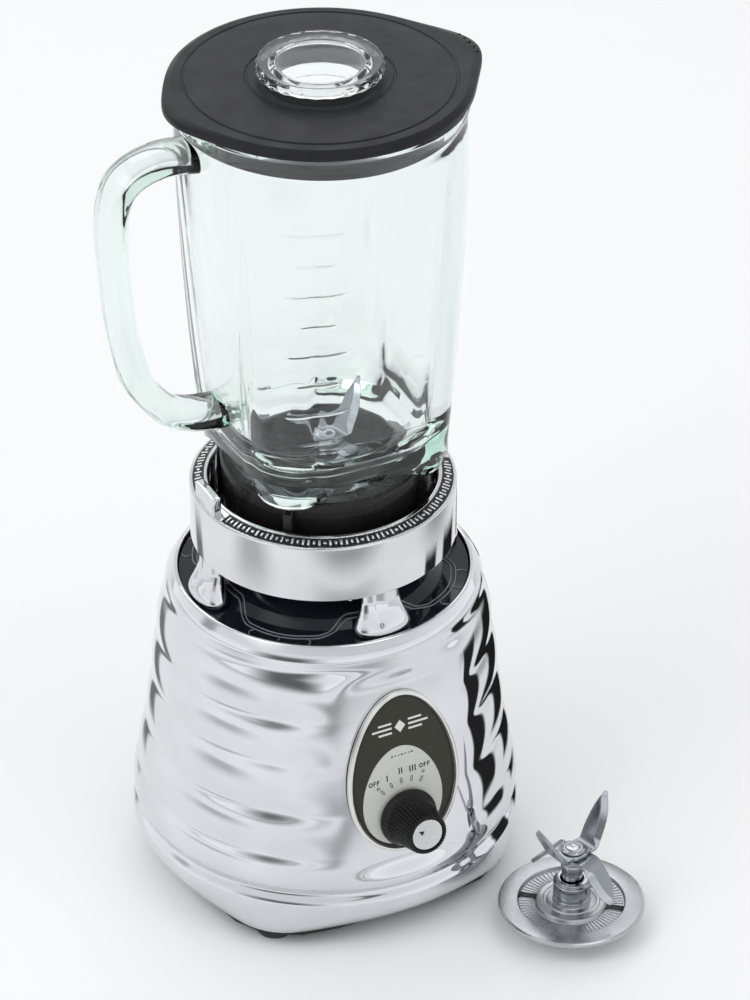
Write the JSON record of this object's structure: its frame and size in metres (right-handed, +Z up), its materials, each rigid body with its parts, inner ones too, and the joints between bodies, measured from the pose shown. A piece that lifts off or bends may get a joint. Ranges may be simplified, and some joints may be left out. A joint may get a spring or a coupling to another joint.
{
  "type": "countertop blender",
  "caption": "Countertop blender: ribbed chrome motor base with rotary switch, legged collar ring, glass jar with handle, black lid and feeder cap, and a spare cutter lying beside the base.",
  "frame": {"origin": "On the drive axis, at the middle of the flat underside of the bottom cover. The rubber feet reach 5 mm below it.", "axes": "+Z up along the drive axis, -Y towards the front with the control panel, +X towards the spout; the jar handle is on -X."},
  "size_m": [0.2045, 0.227, 0.3997],
  "materials": {
    "bottom_cap": "satin black",
    "bottom_cover": "black moulding",
    "brush_a": "carbon block",
    "brush_b": "carbon block",
    "brush_holder_a": "sheet",
    "brush_holder_b": "sheet",
    "collar_ring": "mirror-bright plating",
    "collar_screw_a": "zinc plated",
    "collar_screw_b": "zinc plated",
    "collar_screw_c": "zinc plated",
    "collar_screw_d": "zinc plated",
    "commutator": "copper segments",
    "cooling_fan": "moulded",
    "cord_inlet": "black bush",
    "cover_screw_a": "zinc plated",
    "cover_screw_b": "zinc plated",
    "cover_screw_c": "zinc plated",
    "cover_screw_d": "zinc plated",
    "cutter_blade_lower": "ground edges",
    "cutter_blade_upper": "ground edges",
    "cutter_bush": "sintered bronze",
    "cutter_housing": "satin",
    "cutter_rivet": "riveted head",
    "cutter_shaft": "turned",
    "cutter_spacer": "turned",
    "drive_stud": "machined",
    "feeder_cap": "clear plastic",
    "field_coil_a": "enamelled copper winding",
    "field_coil_b": "enamelled copper winding",
    "foot_a": "black",
    "foot_b": "black",
    "foot_c": "black",
    "foot_d": "black",
    "housing": "mirror-bright plating",
    "jar_gasket": "black ring",
    "jar_glass": "clear pressed glass",
    "knob": "ribbed black",
    "knob_insert": "satin disc",
    "lid": "soft black plastic",
    "lower_bearing": "ground",
    "lower_bracket": "cast",
    "motor_bolt_a": "zinc plated",
    "motor_bolt_b": "zinc plated",
    "motor_shaft": "ground",
    "panel_face": "dark olive grey print",
    "panel_rim": "satin silver",
    "rotor_core": "laminated steel",
    "slinger_disc": "light grey moulding",
    "spare_blade_lower": "ground edges",
    "spare_blade_upper": "ground edges",
    "spare_housing": "satin",
    "spare_rivet": "riveted head",
    "spare_shaft": "turned",
    "stator": "laminated steel",
    "switch_body": "moulded",
    "switch_nut": "plated",
    "switch_shaft": "turned",
    "top_plate": "glossy black",
    "upper_bearing": "ground",
    "upper_bracket": "cast"
  },
  "bodies": {
    "base": {"housing": "housing", "top_plate": "top_plate", "collar_ring": "collar_ring", "collar_screw_a": "collar_screw_a", "collar_screw_b": "collar_screw_b", "collar_screw_c": "collar_screw_c", "collar_screw_d": "collar_screw_d", "panel_rim": "panel_rim", "panel_face": "panel_face", "switch_body": "switch_body", "switch_nut": "switch_nut", "bottom_cover": "bottom_cover", "foot_a": "foot_a", "foot_b": "foot_b", "foot_c": "foot_c", "foot_d": "foot_d", "cover_screw_a": "cover_screw_a", "cover_screw_b": "cover_screw_b", "cover_screw_c": "cover_screw_c", "cover_screw_d": "cover_screw_d", "cord_inlet": "cord_inlet", "stator": "stator", "field_coil_a": "field_coil_a", "field_coil_b": "field_coil_b", "lower_bracket": "lower_bracket", "upper_bracket": "upper_bracket", "lower_bearing": "lower_bearing", "upper_bearing": "upper_bearing", "brush_holder_a": "brush_holder_a", "brush_holder_b": "brush_holder_b", "brush_a": "brush_a", "brush_b": "brush_b", "motor_bolt_a": "motor_bolt_a", "motor_bolt_b": "motor_bolt_b"},
    "rotor": {"motor_shaft": "motor_shaft", "rotor_core": "rotor_core", "commutator": "commutator", "cooling_fan": "cooling_fan", "slinger_disc": "slinger_disc", "drive_stud": "drive_stud"},
    "switch_knob": {"knob": "knob", "knob_insert": "knob_insert", "switch_shaft": "switch_shaft"},
    "jar_base": {"bottom_cap": "bottom_cap", "cutter_housing": "cutter_housing", "cutter_bush": "cutter_bush", "jar_gasket": "jar_gasket"},
    "cutter": {"cutter_shaft": "cutter_shaft", "cutter_spacer": "cutter_spacer", "cutter_blade_lower": "cutter_blade_lower", "cutter_blade_upper": "cutter_blade_upper", "cutter_rivet": "cutter_rivet"},
    "jar": {"jar_glass": "jar_glass"},
    "lid": {"lid": "lid"},
    "feeder_cap": {"feeder_cap": "feeder_cap"},
    "spare_base": {"spare_housing": "spare_housing"},
    "spare_cutter": {"spare_shaft": "spare_shaft", "spare_blade_lower": "spare_blade_lower", "spare_blade_upper": "spare_blade_upper", "spare_rivet": "spare_rivet"}
  },
  "joints": [
    {"name": "drive_spin", "type": "hinge", "parent": "base", "child": "rotor", "pos_m": [0, 0, 0.1], "axis": [0, 0, 1], "continuous": true},
    {"name": "knob_turn", "type": "hinge", "parent": "base", "child": "switch_knob", "pos_m": [0, -0.0778, 0.06003], "axis": [0, 0.9895, -0.1444], "range_deg": [0, 112]},
    {"name": "jar_lift", "type": "slide", "parent": "base", "child": "jar_base", "axis": [0, 0, 1], "range_m": [0, 0.16]},
    {"name": "cutter_spin", "type": "hinge", "parent": "jar_base", "child": "cutter", "pos_m": [0, 0, 0.19], "axis": [0, 0, 1], "continuous": true},
    {"name": "jar_turn", "type": "hinge", "parent": "jar_base", "child": "jar", "pos_m": [0, 0, 0.2], "axis": [0, 0, 1], "range_deg": [0, 120]},
    {"name": "lid_lift", "type": "slide", "parent": "jar", "child": "lid", "axis": [0, 0, 1], "range_m": [0, 0.06]},
    {"name": "feeder_lift", "type": "slide", "parent": "lid", "child": "feeder_cap", "axis": [0, 0, 1], "range_m": [0, 0.05]},
    {"name": "spare_lift", "type": "slide", "parent": "base", "child": "spare_base", "axis": [0, 0, 1], "range_m": [0, 0.12]},
    {"name": "spare_spin", "type": "hinge", "parent": "spare_base", "child": "spare_cutter", "pos_m": [0.0695, -0.105, 0], "axis": [0, 0, 1], "continuous": true}
  ],
  "couplings": [
    {"joint": "cutter_spin", "follows": "drive_spin", "ratio": 1}
  ]
}
